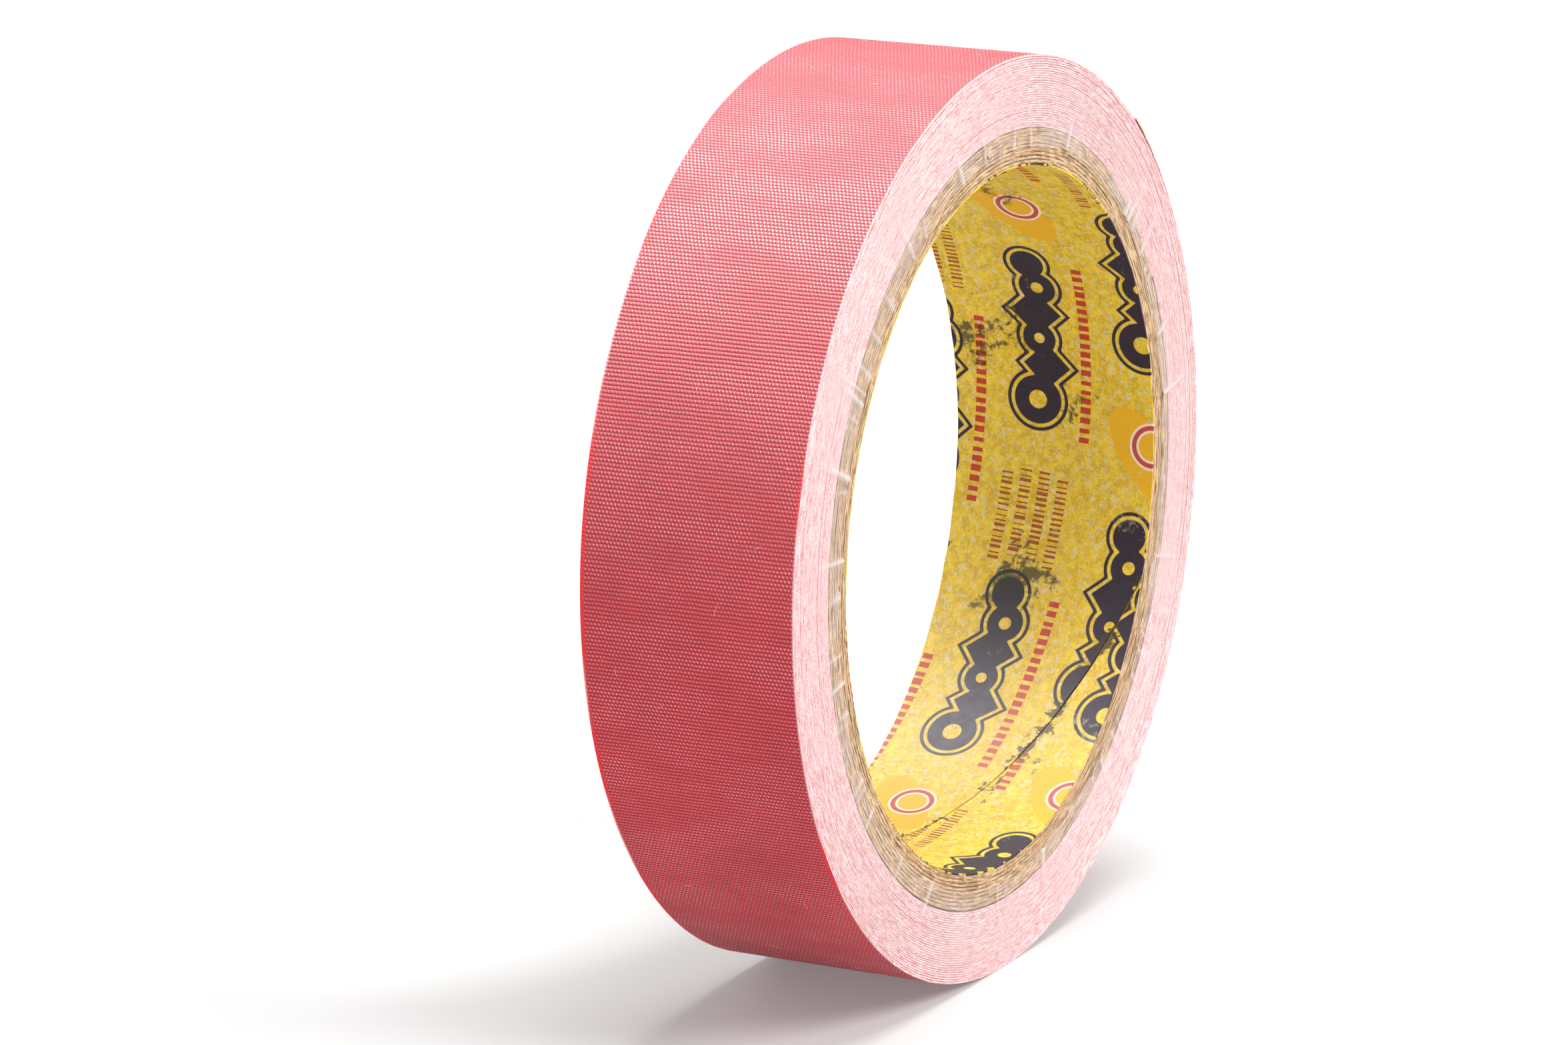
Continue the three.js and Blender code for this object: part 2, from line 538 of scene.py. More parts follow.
def makeKraft():
    # the cut ends show the strips as fine rings, broken up by the fibres
    material, tree, shader = newMaterial("kraftBoard")
    place = surfacePlace(tree)
    rings = ringStreaks(tree, place, along=22.0, through=5200.0, across=700.0)
    patchy = ringStreaks(tree, place, along=13.0, through=840.0, across=0.0)
    radius = rollRadiusAt(tree, place)[0]
    plies = calc(tree, "DIVIDE", minus(tree, radius, linerOuter * mm),
                 (core["plyThickness"] + core["glueLine"]) * mm)
    fromGlue = calc(tree, "PINGPONG", plies, 0.5)
    glue = times(tree, ramp(tree, fromGlue, 0.05, 0.22, 1.0, 0.0), ramp(tree, patchy, 0.40, 0.62))
    fibre = useGroup(tree, fibreGroup, place, Fineness=1.6)
    scuff = useGroup(tree, scuffGroup, place, Size=0.5, Amount=0.42)
    broad = grainNoise(tree, place, 160.0, 3.0)
    tone = plus(tree, times(tree, rings, 0.62), times(tree, fibre["Tone"], 0.38))
    colour = mixColour(tree, ramp(tree, tone, 0.38, 0.60), board["dark"], board["pale"])
    colour = mixColour(tree, ramp(tree, broad, 0.40, 0.68, 0.0, 0.45), colour, board["stain"])
    layers = ((fibre["Speck"], 0.7, "fleck"), (glue, 0.75, "glue"), (scuff["Mask"], 0.5, "scuff"))
    colour = layered(tree, colour, board, layers)
    height = minus(tree, tone, times(tree, glue, 0.4))
    normal = bumped(tree, height, 1.0, board["relief"] * mm)
    setSockets(tree, shader, {"Base Color": colour, "Roughness": board["roughness"], "Normal": normal})
    return material


printing = {
    "tilt": 4.0,  # degrees between the rows of print and the roll's edge
    "columnPitch": 13.0,
    "columnStart": 4.6,
    "tile": 41.0,
    "columnShift": 9.0,
    # shape, place along the row, place across, half size
    "badge": (("disc", 4.2, 0.4, 2.9), ("diamond", 8.5, -0.7, 2.3), ("disc", 11.9, 0.1, 2.0),
              ("diamond", 15.3, 0.3, 2.5), ("disc", 18.9, -0.3, 2.2), ("disc", 22.4, 0.4, 2.0)),
    "hole": (("disc", 4.2, 0.4, 1.1), ("disc", 11.9, 0.1, 0.65), ("disc", 18.9, -0.3, 0.75)),
    "outlineGap": 0.42,
    "outlineWidth": 0.42,
    "leaf": {"middle": 32.0, "long": 6.2, "wide": 3.0, "lean": 38.0},
    "ring": {"middle": 33.0, "across": -0.9, "outer": 2.2, "line": 0.55},
    # "ink" is the least and the most of a dash's or a stroke's pitch that is inked
    "dashRow": {"across": -5.5, "height": 0.62, "pitch": 1.15, "ink": (0.42, 0.77), "end": 23.0},
    "fineRows": {"start": 24.5, "end": 35.0, "pitch": 2.3, "height": 0.68, "reach": 4.6,
                 "stroke": 0.62, "ink": (0.2, 0.7), "unevenStart": 3.0},
}
inks = {
    "paperDark": (0.58, 0.36, 0.018),
    "paperPale": (0.86, 0.62, 0.048),
    "bleached": (0.66, 0.62, 0.46),
    "pepper": (0.12, 0.09, 0.03),
    "ochre": (0.80, 0.42, 0.01),
    "white": (0.88, 0.80, 0.72),
    "red": (0.47, 0.010, 0.020),
    "brown": (0.30, 0.040, 0.010),
    "dark": (0.010, 0.006, 0.034),
    "rubbed": (0.62, 0.56, 0.33),
    "smudge": (0.030, 0.030, 0.016),
    "torn": (0.045, 0.035, 0.015),
    "roughness": (0.42, 0.72),
    "relief": 0.05,
}


def shapeDistance(tree, kind, dx, dy, size):
    # distance from the outline of a disc or diamond, below 0 inside
    if kind == "disc":
        squares = plus(tree, times(tree, dx, dx), times(tree, dy, dy))
        return minus(tree, calc(tree, "SQRT", squares), size)
    reach = plus(tree, calc(tree, "ABSOLUTE", dx), calc(tree, "ABSOLUTE", dy))
    return times(tree, minus(tree, reach, size * 1.25), 0.75)


def shapesDistance(tree, shapes, u, v):
    nearest = None
    for kind, along, across, size in shapes:
        gap = shapeDistance(tree, kind, minus(tree, u, along), minus(tree, v, across), size)
        nearest = gap if nearest is None else calc(tree, "SMOOTH_MIN", nearest, gap, 0.35)
    return nearest


def below(tree, value, limit, soft=0.12):
    return ramp(tree, value, limit - soft / 2, limit + soft / 2, 1.0, 0.0)


def dice(tree, x, y):
    node = tree.nodes.new("ShaderNodeTexWhiteNoise")
    feed(tree, node.inputs["Vector"], packVector(tree, x, y))
    return node.outputs["Value"]


def between(tree, value, low, high):
    return times(tree, calc(tree, "GREATER_THAN", value, low), calc(tree, "LESS_THAN", value, high))


def makePrintGroup():
    # a badge of discs and diamonds, a leaf with a ring, and rows of strokes: Place in millimetres
    group, given, out = newGroup("linerPrint", {}, ("Dark", "Red", "Brown", "Ochre", "Paper"))
    turned = group.nodes.new("ShaderNodeMapping")
    feed(group, turned.inputs["Vector"], given["Place"])
    turned.inputs["Rotation"].default_value = (0, 0, math.radians(printing["tilt"]))
    x, y, _ = unpackVector(group, turned.outputs["Vector"])
    column, v = cells(group, plus(group, y, printing["columnStart"]), printing["columnPitch"])
    v = times(group, minus(group, v, 0.5), printing["columnPitch"])
    shifted = plus(group, x, times(group, column, printing["columnShift"]))
    tileNumber, u = cells(group, shifted, printing["tile"])
    u = times(group, u, printing["tile"])
    odd = calc(group, "PINGPONG", plus(group, tileNumber, column), 1.0)
    even = minus(group, 1.0, odd)

    badge = shapesDistance(group, printing["badge"], u, v)
    holes = below(group, shapesDistance(group, printing["hole"], u, v), 0.0)
    fill = times(group, below(group, badge, 0.0), minus(group, 1.0, holes))
    line = minus(group, badge, printing["outlineGap"] + printing["outlineWidth"] / 2)
    outline = below(group, calc(group, "ABSOLUTE", line), printing["outlineWidth"] / 2)
    dark = calc(group, "MAXIMUM", fill, outline)

    leaf = printing["leaf"]
    lx, lean = minus(group, u, leaf["middle"]), math.radians(leaf["lean"])
    rx = plus(group, times(group, lx, math.cos(lean)), times(group, v, math.sin(lean)))
    ry = minus(group, times(group, v, math.cos(lean)), times(group, lx, math.sin(lean)))
    rx, ry = calc(group, "DIVIDE", rx, leaf["long"]), calc(group, "DIVIDE", ry, leaf["wide"])
    oval = shapeDistance(group, "disc", rx, ry, 1.0)
    ring = printing["ring"]
    gap = shapeDistance(group, "disc", minus(group, u, ring["middle"]),
                        minus(group, v, ring["across"]), ring["outer"])
    circle = below(group, calc(group, "ABSOLUTE", gap), ring["line"] / 2)

    dash = printing["dashRow"]
    dashNumber, inDash = cells(group, u, dash["pitch"])
    dashes = calc(group, "LESS_THAN", inDash, fade(group, dice(group, dashNumber, 2.0), *dash["ink"]))
    fromRow = calc(group, "ABSOLUTE", minus(group, v, dash["across"]))
    dashes = times(group, dashes, below(group, fromRow, dash["height"]))
    dashes = times(group, dashes, calc(group, "LESS_THAN", u, dash["end"]))

    fine = printing["fineRows"]
    rowNumber, inRow = cells(group, v, fine["pitch"])
    inRow = times(group, minus(group, inRow, 0.5), fine["pitch"])
    stroke, inStroke = cells(group, u, fine["stroke"])
    mark = calc(group, "LESS_THAN", inStroke, fade(group, dice(group, stroke, rowNumber), *fine["ink"]))
    mark = times(group, mark, calc(group, "LESS_THAN", calc(group, "ABSOLUTE", inRow), fine["height"]))
    inset = times(group, dice(group, rowNumber, 5.0), fine["unevenStart"])
    mark = times(group, mark, between(group, minus(group, u, inset), fine["start"], fine["end"]))
    mark = times(group, mark, below(group, calc(group, "ABSOLUTE", v), fine["reach"]))

    feed(group, out["Dark"], dark)
    feed(group, out["Red"], calc(group, "MAXIMUM", times(group, circle, even), dashes))
    feed(group, out["Brown"], times(group, mark, odd))
    feed(group, out["Ochre"], times(group, below(group, oval, 0.0, 0.05), even))
    feed(group, out["Paper"], times(group, below(group, calc(group, "ABSOLUTE", gap), ring["line"]), even))
    return group


def makeLiner():
    material, tree, shader = newMaterial("printedLiner")
    place = stripPlace(tree)
    solid = surfacePlace(tree)
    art = useGroup(tree, makePrintGroup(), place)
    fibre = useGroup(tree, fibreGroup, solid, Fineness=1.0)
    rubbed = useGroup(tree, scuffGroup, solid, Size=1.0, Amount=0.42)
    smudge = useGroup(tree, scuffGroup, solid, Size=1.15, Amount=0.445)
    mottle = ramp(tree, grainNoise(tree, solid, 1500.0, 3.0, 0.7), 0.52, 0.62)
    pepper = ramp(tree, grainNoise(tree, solid, 2100.0, 2.0, 0.8), 0.665, 0.70)
    colour = mixColour(tree, ramp(tree, fibre["Tone"], 0.35, 0.65), inks["paperDark"], inks["paperPale"])
    colour = layered(tree, colour, inks, (
        (mottle, 0.55, "bleached"), (pepper, 0.7, "pepper"), (art["Ochre"], 0.9, "ochre"),
        (art["Paper"], 0.8, "white"), (art["Red"], 0.92, "red"), (art["Brown"], 0.9, "brown"),
        (art["Dark"], 0.97, "dark"), (rubbed["Mask"], 0.35, "rubbed"), (smudge["Mask"], 0.85, "smudge")))
    x, y, _ = unpackVector(tree, place)
    lead = math.radians(core["seamLeadDegrees"]) / tape["width"]
    middle = math.radians(core["seamAtMiddle"])
    past = minus(tree, x, calc(tree, "MULTIPLY_ADD", y, -lead * linerOuter, middle * linerOuter))
    nearSeam = calc(tree, "MINIMUM", past, minus(tree, fullTurn * linerOuter, past))
    tatters = minus(tree, grainNoise(tree, solid, 330.0, 5.0, 0.72, 0.8), times(tree, nearSeam, 0.030))
    colour = mixColour(tree, ramp(tree, tatters, 0.490, 0.525, 0.0, 0.9), colour, inks["torn"])
    setSockets(tree, shader, {
        "Base Color": colour,
        "Roughness": fade(tree, fibre["Tone"], *inks["roughness"]),
        "Specular IOR Level": 0.2,
        "Normal": bumped(tree, fibre["Tone"], 0.25, inks["relief"] * mm),
    })
    return material


clearWrap = {
    "hazy": (0.78, 0.66, 0.62),
    "clear": (0.96, 0.90, 0.90),
    "thinnest": 0.07,  # alpha where it lies flat and clean
    "looseHaze": 0.18,
    "creaseHaze": 0.42,
    "roughness": (0.05, 0.19),
    "relief": 0.2,
}


def makeFilm():
    material, tree, shader = newMaterial("clearFilm")
    place = surfacePlace(tree)
    fold = tree.nodes.new("ShaderNodeAttribute")
    fold.attribute_name = "fold"
    haze = grainNoise(tree, place, 240.0, 3.0)
    loose = ramp(tree, grainNoise(tree, place, 60.0, 2.0), 0.45, 0.65)
    loose = times(tree, haze, loose)
    flat = calc(tree, "MULTIPLY_ADD", loose, clearWrap["looseHaze"], clearWrap["thinnest"])
    ripples = grainNoise(tree, place, 420.0, 2.0)
    setSockets(tree, shader, {
        "Base Color": mixColour(tree, haze, clearWrap["hazy"], clearWrap["clear"]),
        "Roughness": fade(tree, haze, *clearWrap["roughness"]),
        "Alpha": calc(tree, "MULTIPLY_ADD", fold.outputs["Fac"], clearWrap["creaseHaze"], flat, clamp=True),
        "Normal": bumped(tree, ripples, 0.35, clearWrap["relief"] * mm),
        "IOR": 1.5,
    })
    return material


fluff = {"pink": (0.78, 0.30, 0.32), "white": (0.97, 0.80, 0.80)}


def makeThreadFluff():
    material, tree, shader = newMaterial("looseThread")
    tone = grainNoise(tree, surfacePlace(tree), 900.0, 2.0)
    colour = mixColour(tree, tone, fluff["pink"], fluff["white"])
    setSockets(tree, shader, {"Base Color": colour, "Roughness": 0.6})
    return material


def makeFloorMaterial():
    # bright to look at, but it throws less light back up under the roll
    material, tree, shader = newMaterial("paleFloor")
    tone = grainNoise(tree, surfacePlace(tree), 60.0, 3.0)
    seen = tree.nodes.new("ShaderNodeLightPath").outputs["Is Camera Ray"]
    bright = mixColour(tree, tone, (studio["floorTone"],) * 3, (studio["floorTone"] + 0.02,) * 3)
    distance = tree.nodes.new("ShaderNodeVectorMath")
    distance.operation = "LENGTH"
    feed(tree, distance.inputs[0], surfacePlace(tree))
    far = ramp(tree, distance.outputs["Value"], studio["lampsFade"], studio["floorReach"])
    setSockets(tree, shader, {
        "Base Color": mixColour(tree, seen, (studio["floorBounce"],) * 3, bright),
        "Roughness": 0.8,
        "Specular IOR Level": 0.0,
        "Emission Color": (1, 1, 1),
        "Emission Strength": plus(tree, times(tree, far, seen), studio["floorGlow"]),
    })
    return material


roseCloth = makeRoseCloth()
cutEdge = makeCutEdge()
adhesiveFace = makeAdhesive()
kraftBoard = makeKraft()
printedLiner = makeLiner()
clearFilm = makeFilm()
looseThread = makeThreadFluff()
print("materials ready")


def markSharp(shape, degrees):
    shape.normal_update()
    for edge in shape.edges:
        faces = edge.link_faces
        edge.smooth = len(faces) != 2 or faces[0].normal.angle(faces[1].normal, 0) < math.radians(degrees)
    for face in shape.faces:
        face.smooth = True


def asMesh(name, shape):
    mesh = bpy.data.meshes.new(name)
    shape.to_mesh(mesh)
    shape.free()
    return mesh


def finishPiece(name, shape, materials, sharpDegrees=30.0):
    markSharp(shape, sharpDegrees)
    mesh = asMesh(name, shape)
    for material in materials:
        mesh.materials.append(material)
    piece = bpy.data.objects.new(name, mesh)
    bpy.context.scene.collection.objects.link(piece)
    return piece


def aroundRoll(radius, angle, y):
    return Vector((radius * math.cos(angle), y, radius * math.sin(angle))) * mm


def noiseAt(*place):
    # smooth noise, from -1 to 1
    return noise.noise(Vector(place))


def ringNoise(angle, frequency, seed):
    # the same round a circle, so that it meets itself after a full turn
    return noiseAt(math.cos(angle) * frequency, math.sin(angle) * frequency, seed * 7.31)


def chain(shape, points, closed=True):
    # vertices joined in a row, the start of every spun profile
    verts = [shape.verts.new(point) for point in points]
    pairs = list(zip(verts, verts[1:])) + ([(verts[-1], verts[0])] if closed else [])
    return verts, [shape.edges.new(pair) for pair in pairs]


def spinProfile(points, angle, steps, closed=True, merge=False):
    # a profile in the XY plane, swept about Y from X towards Z
    shape = bmesh.new()
    verts, edges = chain(shape, [Vector((x, y, 0)) * mm for x, y in points], closed)
    spun = bmesh.ops.spin(shape, geom=verts + edges, cent=(0, 0, 0), axis=(0, -1, 0),
                          angle=angle, steps=steps, use_merge=merge)
    last = [item for item in spun["geom_last"] if isinstance(item, bmesh.types.BMVert)]
    if merge:
        bmesh.ops.remove_doubles(shape, verts=shape.verts, dist=sameSpot)
    return shape, verts, last


faceCloth, faceEdge, faceAdhesive = 0, 1, 2


def tapeProfile(panels=1):
    # the strip's section, with its two faces in this many panels across
    t, c = tape["thickness"], tape["cornerRound"]
    across = [(half - c) * (1 - 2 * n / panels) for n in range(panels + 1)]
    return ([(t - c, half), (c, half)] + [(0, y) for y in across]
            + [(c, -half), (t - c, -half)] + [(t, y) for y in reversed(across)])


def turnTemplate(share, steps, panels=1):
    # part of a turn of plain strip: "turn" holds how far round each vertex lies, from 0 to share
    shape, first, last = spinProfile([(windingStart + x, y) for x, y in tapeProfile(panels)],
                                     fullTurn * share, steps)
    shape.verts.index_update()
    first, last = [vert.index for vert in first], [vert.index for vert in last]
    turn = shape.verts.layers.float.new("turn")
    depth = shape.verts.layers.float.new("depth")
    shape.verts.ensure_lookup_table()
    for vert in shape.verts:
        angle = math.atan2(vert.co.z, vert.co.x) % fullTurn
        vert[turn] = angle / fullTurn
        vert[depth] = math.hypot(vert.co.x, vert.co.z) / mm - windingStart
    for index in first:
        shape.verts[index][turn] = 0
    for index in last:
        shape.verts[index][turn] = share
    return asMesh("turnTemplate", shape)


def stripLength(turn):
    # length of the strip's middle, from the core to this turn
    return fullTurn * turn * (windingStart + tape["thickness"] / 2 + tape["pitch"] * turn / 2)


def edgeOffset(turn, side):
    # each turn's edge lies a little in or out of line with its neighbours
    whole = math.floor(turn)
    share = turn - whole
    blend = share * share * (3 - 2 * share)
    drift = [noiseAt(n * 3.7, side * 9.1, 0.5) for n in (whole, whole + 1)]
    wave = noiseAt(turn * 9.0, side * 2.3, 4.0)
    return tape["proudEdge"] * (1.3 * (drift[0] * (1 - blend) + drift[1] * blend) + 0.5 * wave)


def addStrip(shape, template, firstTurn, lift=None):
    # one template's worth of strip, wound on from firstTurn
    start = len(shape.verts)
    shape.from_mesh(template)
    shape.verts.ensure_lookup_table()
    turnLayer = shape.verts.layers.float["turn"]
    depthLayer = shape.verts.layers.float["depth"]
    for vert in shape.verts[start:]:
        share = vert[turnLayer]
        turn = firstTurn + share
        angle = rootAngle + turn * fullTurn
        side = 1 if vert.co.y > 0 else -1
        y = vert.co.y / mm
        y += edgeOffset(turn, side) * abs(y) / half
        radius = stripRadius(turn) + vert[depthLayer] + (lift(share) if lift else 0)
        vert[turnLayer] = turn
        vert.co = aroundRoll(radius, angle, y)


def closeStrip(shape):
    bmesh.ops.remove_doubles(shape, verts=shape.verts, dist=tape["weld"] * mm)
    openEdges = [edge for edge in shape.edges if edge.is_boundary]
    bmesh.ops.holes_fill(shape, edges=openEdges, sides=0)
    bmesh.ops.recalc_face_normals(shape, faces=shape.faces)


def dressStrip(shape):
    # the strip's own coordinates in millimetres, and which finish each face has
    strip = shape.loops.layers.uv.new("strip")
    turnLayer = shape.verts.layers.float["turn"]
    shape.normal_update()
    for face in shape.faces:
        middle = face.calc_center_median()
        outwards = Vector((middle.x, 0, middle.z)).normalized().dot(face.normal)
        face.material_index = faceCloth if outwards > 0.9 else faceAdhesive if outwards < -0.9 else faceEdge
        for loop in face.loops:
            loop[strip].uv = (stripLength(loop.vert[turnLayer]), loop.vert.co.y / mm)


def makeWinding():
    template = turnTemplate(1.0, tape["stepsPerTurn"])
    shape = bmesh.new()
    for turn in range(tape["turns"]):
        addStrip(shape, template, turn)
    closeStrip(shape)
    dressStrip(shape)
    piece = finishPiece("wound_tape", shape, (roseCloth, cutEdge, adhesiveFace))
    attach(piece, "roll")
    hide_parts("tape_winding")


freeEnd = {
    "steps": 26,
    "panels": 60,
    "rootGap": 0.05,  # between it and the turn that it belongs to
    "lift": 0.28,  # how far its tip stands off the turn below
    "ragged": 0.45,  # how uneven the torn tip is
}


def moveRound(vert, distance):
    # along the outermost turn, the way that it is wound
    vert.co = Matrix.Rotation(distance / rollRadius, 3, (0, -1, 0)) @ vert.co


def makeFreeEnd():
    share = tape["endDegrees"] / 360
    template = turnTemplate(share, freeEnd["steps"], freeEnd["panels"])
    shape = bmesh.new()

    def lift(part):
        return freeEnd["lift"] * (part / share) ** 2

    addStrip(shape, template, tape["turns"], lift)
    turnLayer = shape.verts.layers.float["turn"]
    for vert in shape.verts:
        y = vert.co.y / mm
        past = (vert[turnLayer] - tape["turns"]) / share
        if past < nearlyNone:
            moveRound(vert, freeEnd["rootGap"])
        elif past > 1 - nearlyNone:
            tear = noiseAt(y * 0.4, 3.1, 0) + 0.6 * noiseAt(y * 2.3, 8.4, 0)
            moveRound(vert, freeEnd["ragged"] * (tear - 0.8))
    closeStrip(shape)
    dressStrip(shape)
    piece = finishPiece("free_end_of_tape", shape, (roseCloth, cutEdge, adhesiveFace))
    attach(piece, "tape_end")
    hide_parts("tape_free_end")


def tubeWall(inner, outer, rough, seed):
    # a smooth tube with slightly uneven cut ends
    shape, _, _ = spinProfile([(outer, half), (inner, half), (inner, -half), (outer, -half)],
                              fullTurn, core["segments"], merge=True)
    bmesh.ops.recalc_face_normals(shape, faces=shape.faces)
    for vert in shape.verts:
        angle = math.atan2(vert.co.z, vert.co.x)
        side = 1 if vert.co.y > 0 else -1
        fine = random.uniform(-0.4, 0.4)
        wear = rough * (ringNoise(angle, 9.0, seed + side) + fine)
        vert.co.y += (wear - rough) * side * mm
    return shape


def seamBlade(inner, outer, middleAngle):
    # a thin blade bent along the helix of one paper strip's edge
    overrun = 1.08  # of the seam's sweep, so that it passes both ends
    clearance = 0.3
    shape = bmesh.new()
    bmesh.ops.create_cube(shape, size=1)
    longEdges = [edge for edge in shape.edges if abs(edge.verts[0].co.x - edge.verts[1].co.x) > 0.5]
    bmesh.ops.subdivide_edges(shape, edges=longEdges, cuts=core["seamSteps"], use_grid_fill=True)
    sweep = math.radians(core["seamLeadDegrees"]) * overrun
    for vert in shape.verts:
        along, across, through = vert.co
        waver = core["seamWaver"] * noiseAt(along * 30, middleAngle, 0)
        y = across * core["seamGap"] - along * tape["width"] * overrun + waver
        radius = (inner + outer) / 2 + through * (outer - inner + 2 * clearance)
        vert.co = aroundRoll(radius, middleAngle + along * sweep, y)
    bmesh.ops.recalc_face_normals(shape, faces=shape.faces)
    return shape


def cutOpen(name, wall, blade, materials):
    # the wall less the blade
    tube = finishPiece(name, wall, materials)
    cutter = finishPiece(f"{name}_blade", blade, ())
    cut = tube.modifiers.new("seam", "BOOLEAN")
    cut.operation = "DIFFERENCE"
    cut.solver = "EXACT"
    cut.object = cutter
    graph = bpy.context.evaluated_depsgraph_get()
    mesh = bpy.data.meshes.new_from_object(tube.evaluated_get(graph))
    tube.modifiers.clear()
    tube.data = mesh
    mesh.name = name
    shape = bmesh.new()
    shape.from_mesh(mesh)
    markSharp(shape, 30.0)
    shape.to_mesh(mesh)
    shape.free()
    bpy.data.objects.remove(cutter)
    return tube


def layLinerPrint(piece):
    # print coordinates run from the seam once round the bore, in millimetres
    mesh = piece.data
    strip = mesh.uv_layers.new(name="strip")
    lead = math.radians(core["seamLeadDegrees"]) / tape["width"]
    for polygon in mesh.polygons:
        middle = polygon.center
        seam = math.radians(core["seamAtMiddle"]) - middle.y / mm * lead
        middleAngle = seam + (math.atan2(middle.z, middle.x) - seam) % fullTurn
        for index in polygon.loop_indices:
            place = mesh.vertices[mesh.loops[index].vertex_index].co
            angle = math.atan2(place.z, place.x)
            angle += fullTurn * round((middleAngle - angle) / fullTurn)
            strip.data[index].uv = (angle * linerOuter, place.y / mm)


def makeCore():
    inner = linerOuter - core["linerThickness"]
    blade = seamBlade(inner, linerOuter, math.radians(core["seamAtMiddle"]))
    liner = cutOpen("printed_liner", tubeWall(inner, linerOuter, core["roughEnd"], 0), blade, (printedLiner,))
    layLinerPrint(liner)
    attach(liner, "roll")
    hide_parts("core_liner")
    for layer in range(1, core["plyCount"] + 1):
        node = f"core_ply_{layer}"
        outer = ringRadius(node)
        inner = outer - core["plyThickness"]
        angle = math.radians(core["seamAtMiddle"] + layer * core["seamStagger"])
        wall = tubeWall(inner, outer, core["roughEnd"], layer)
        ply = cutOpen(f"kraft_ply_{layer}", wall, seamBlade(inner, outer, angle), (kraftBoard,))
        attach(ply, "roll")
        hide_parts(node)


film = {
    "inset": 1.4,
    "overCore": 2.0,
    "rings": 12,
    "segments": 1200,
    "stand": 0.10,  # how far the film stands off the side face
    "creases": 52,
    "creaseWidth": (0.15, 0.42),
    "creaseHeight": (0.10, 0.38),
    "creaseReach": (0.22, 1.0),  # shares of the way out from the film's inner edge
    "creaseSlant": 0.04,
    "innerTear": (0.5, 0.25),  # its broad waves and its fine ones
    "outerWave": 0.35,
    "loose": 0.05,
    "thickness": 0.04,
}


def makeFilmCollar(node, name, side):
    outer = rollRadius - tape["pitch"] - film["inset"]
    inner = coreOuter - film["overCore"]
    rows = [(inner + (outer - inner) * n / film["rings"], 0) for n in range(film["rings"] + 1)]
    shape, _, _ = spinProfile(rows, fullTurn, film["segments"], closed=False, merge=True)
    creases = [(random.uniform(0, fullTurn), random.uniform(-film["creaseSlant"], film["creaseSlant"]),
                random.uniform(*film["creaseWidth"]), random.uniform(*film["creaseHeight"]),
                random.uniform(*film["creaseReach"])) for _ in range(film["creases"])]
    tallest = film["creaseHeight"][1]
    foldLayer = shape.verts.layers.float.new("fold")
    for vert in shape.verts:
        angle = math.atan2(vert.co.z, vert.co.x)
        radius = math.hypot(vert.co.x, vert.co.z) / mm
        share = (radius - inner) / (outer - inner)
        broad, fine = film["innerTear"]
        torn = broad * ringNoise(angle, 6.0, side) + fine * ringNoise(angle, 21.0, side + 5)
        wave = film["outerWave"] * ringNoise(angle, 5.0, side + 9)
        radius += torn * (1 - share) ** 2 + wave * share ** 4
        stand = film["stand"] + film["loose"] * ringNoise(angle, 7.0, side + 3) * share
        for at, slant, width, height, reach in creases:
            away = (angle - at - slant * share + math.pi) % fullTurn - math.pi
            fold = math.exp(-(away * radius / width) ** 2) * height * max(0, 1 - share / reach) ** 0.6
            stand += fold
            vert[foldLayer] = max(vert[foldLayer], fold / tallest)
        vert.co = aroundRoll(radius, angle, side * (half + stand))
    bmesh.ops.recalc_face_normals(shape, faces=shape.faces)
    piece = finishPiece(name, shape, (clearFilm,), 60.0)
    wall = piece.modifiers.new("gauge", "SOLIDIFY")
    wall.thickness = film["thickness"] * mm
    wall.offset = 0
    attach(piece, "roll")
    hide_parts(node)


threads = {
    "segments": 4,
    "sides": 3,
    "thick": 0.020,
    "taper": 0.6,
    "perRim": 300,
    "rimLength": (0.15, 0.55),
    "rimRoot": 0.05,  # how far inside the rim they start
    "standing": 0.97,  # none where the roll stands, past this sine below the axis
    "atTip": 46,
    "tipLength": (0.2, 0.8),
    "tipRoot": 0.4,  # how far inside the torn tip they start
    "lint": 90,
    "lintLength": (0.5, 1.6),
    "lintMargin": 0.05,  # radians past the free end that it keeps clear of
}


def threadTemplate():
    shape = bmesh.new()
    bmesh.ops.create_circle(shape, segments=threads["sides"], radius=1, cap_ends=True)
    tip = list(shape.faces)
    for n in range(threads["segments"]):
        grown = bmesh.ops.extrude_face_region(shape, geom=tip)
        if n:
            bmesh.ops.delete(shape, geom=tip, context="FACES_ONLY")
        tip = [item for item in grown["geom"] if isinstance(item, bmesh.types.BMFace)]
        verts = [item for item in grown["geom"] if isinstance(item, bmesh.types.BMVert)]
        bmesh.ops.translate(shape, verts=verts, vec=(0, 0, 1))
    bmesh.ops.recalc_face_normals(shape, faces=shape.faces)
    return asMesh("threadTemplate", shape)


def layThread(shape, template, root, along, bend, length):
    # one thread of the template, from root along a bending line, tapering to its tip
    start = len(shape.verts)
    shape.from_mesh(template)
    shape.verts.ensure_lookup_table()
    sideways = along.orthogonal().normalized()
    other = along.cross(sideways)
    for vert in shape.verts[start:]:
        share = vert.co.z / threads["segments"]
        thin = threads["thick"] * (1 - threads["taper"] * share)
        line = along * share + bend * share * share * 0.5
        vert.co = root + (line * length + (sideways * vert.co.x + other * vert.co.y) * thin) * mm


def finishThreads(name, shape, body):
    piece = finishPiece(name, shape, (looseThread,), 80.0)
    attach(piece, body)


def outAndAround(angle):
    return Vector((math.cos(angle), 0, math.sin(angle))), Vector((-math.sin(angle), 0, math.cos(angle)))


def outerTurn(angle):
    # how many turns out from the core the outermost one is, at this angle
    return tape["turns"] - 1 + ((angle - rootAngle) / fullTurn) % 1


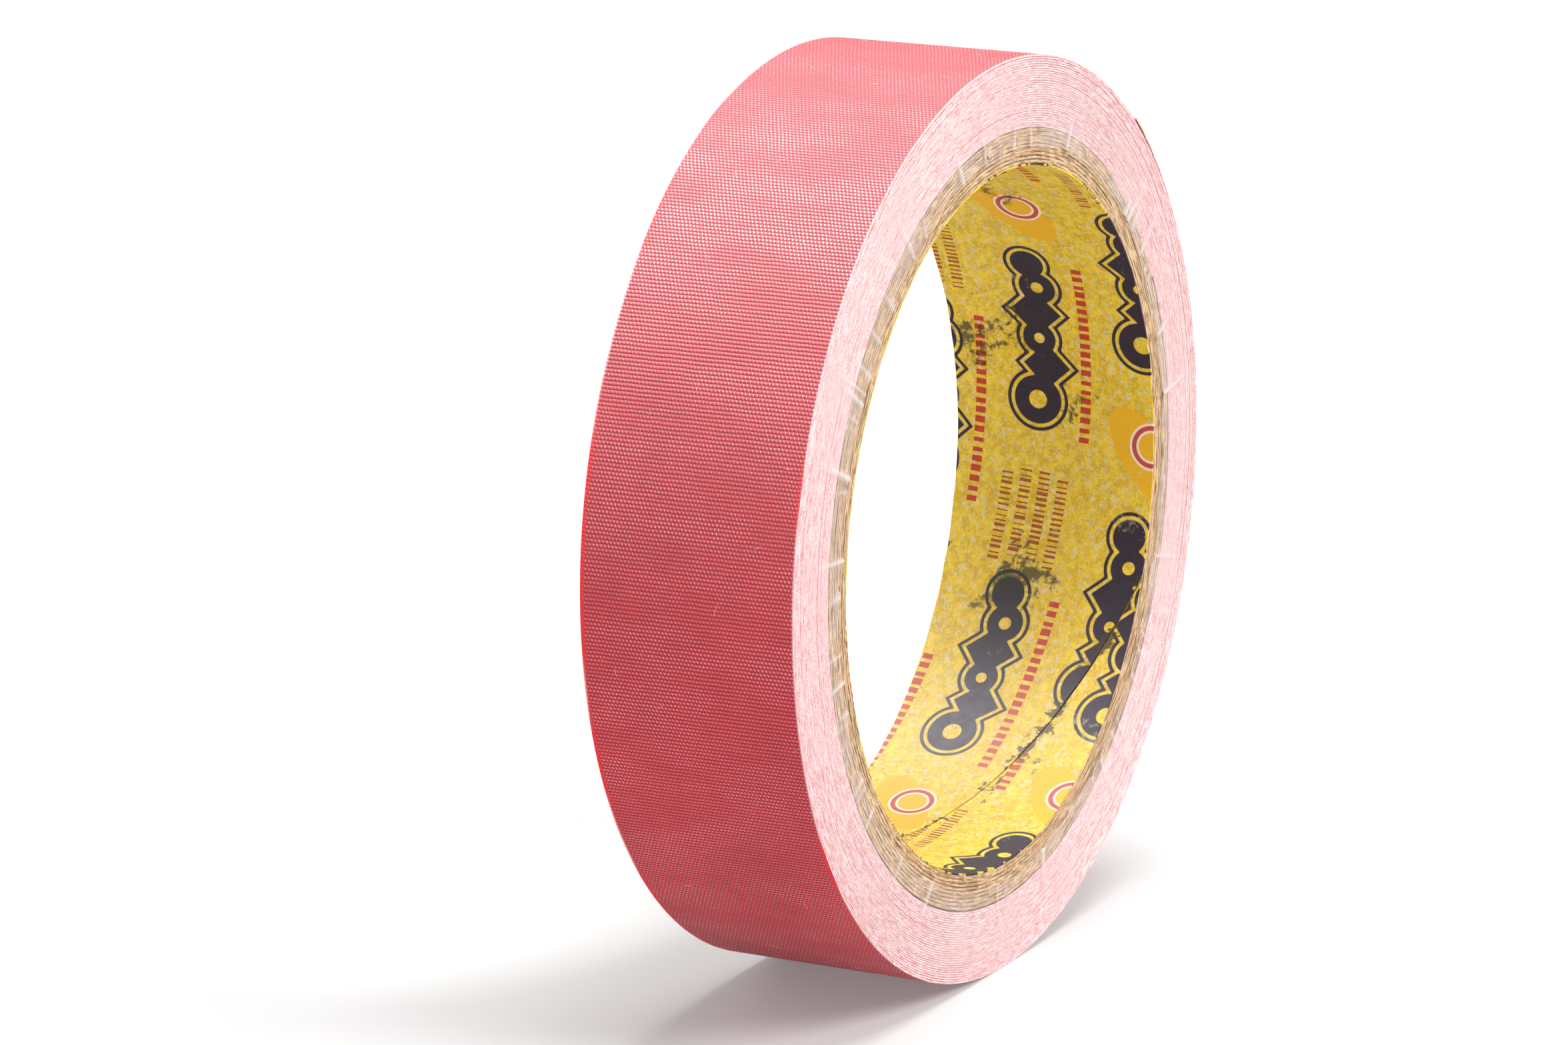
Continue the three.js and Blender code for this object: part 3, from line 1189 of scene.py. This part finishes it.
def makeRimThreads(template):
    shape = bmesh.new()
    for side in (-1, 1):
        for _ in range(threads["perRim"]):
            angle = random.uniform(0, fullTurn)
            length = random.uniform(*threads["rimLength"])
            root = aroundRoll(stripRadius(outerTurn(angle)) + tape["thickness"] * random.uniform(0.7, 0.98),
                              angle, side * (half - threads["rimRoot"]))
            out, around = outAndAround(angle)
            along = (Vector((0, side, 0)) * random.uniform(0.2, 1.0) + out * random.uniform(0.0, 0.5)
                     + around * random.uniform(-1.2, 1.2)).normalized()
            bend = out.cross(along).normalized() * random.uniform(-0.5, 0.5) - out * random.uniform(0, 0.3)
            if math.sin(angle) > -threads["standing"]:
                layThread(shape, template, root, along, bend, length)
    finishThreads("rim_threads", shape, "roll")


def makeTipThreads(template):
    # the warp ends that hang out of the torn tip
    shape = bmesh.new()
    angle = rootAngle + math.radians(tape["endDegrees"]) - threads["tipRoot"] / rollRadius
    out, around = outAndAround(angle)
    turn = tape["turns"] + tape["endDegrees"] / 360
    radius = stripRadius(turn) + freeEnd["lift"] + tape["thickness"] / 2
    for _ in range(threads["atTip"]):
        root = aroundRoll(radius + random.uniform(-0.05, 0.05), angle, random.uniform(-half, half) * 0.99)
        along = around + out * random.uniform(-0.1, 0.25) + Vector((0, random.uniform(-0.5, 0.5), 0))
        along.normalize()
        bend = Vector((0, random.uniform(-0.6, 0.6), 0)) - out * random.uniform(0, 0.2)
        length = threads["tipRoot"] + random.uniform(*threads["tipLength"])
        layThread(shape, template, root, along, bend, length)
    finishThreads("tip_threads", shape, "tape_end")


def makeLint(template):
    # short hairs lying on the face of the outermost turn
    shape = bmesh.new()
    for _ in range(threads["lint"]):
        angle = random.uniform(0, fullTurn)
        out, around = outAndAround(angle)
        sideways = Vector((0, 1, 0))
        root = aroundRoll(stripRadius(outerTurn(angle)) + tape["thickness"] + threads["thick"], angle,
                          random.uniform(-half, half) * 0.95)
        lean = random.uniform(0, fullTurn)
        along = around * math.cos(lean) + sideways * math.sin(lean)
        bend = out.cross(along) * random.uniform(-0.9, 0.9)
        length = random.uniform(*threads["lintLength"])
        underEnd = (angle - rootAngle) % fullTurn < math.radians(tape["endDegrees"]) + threads["lintMargin"]
        if math.sin(angle) > -threads["standing"] and not underEnd:
            layThread(shape, template, root, along, bend, length)
    finishThreads("tread_lint", shape, "roll")


def makeFloor(height):
    shape = bmesh.new()
    squares = studio["floorSquares"]
    bmesh.ops.create_grid(shape, x_segments=squares, y_segments=squares, size=studio["floorHalf"])
    bmesh.ops.translate(shape, verts=shape.verts, vec=(0, 0, height))
    floor = finishPiece("floor", shape, (makeFloorMaterial(),))


makeCamera()
makeLights()
print("camera and lights ready")
makeWinding()
print("winding ready")
makeFreeEnd()
makeCore()
print("core ready")
makeFilmCollar("film_collar_front", "film_front", -1)
makeFilmCollar("film_collar_back", "film_back", 1)
print("film ready")
thread = threadTemplate()
makeRimThreads(thread)
makeTipThreads(thread)
makeLint(thread)
print("threads ready")
turnUnderneath = tape["turns"] - (rootAngle + math.pi / 2) / fullTurn
makeFloor(-(stripRadius(turnUnderneath) + tape["thickness"]) * mm)
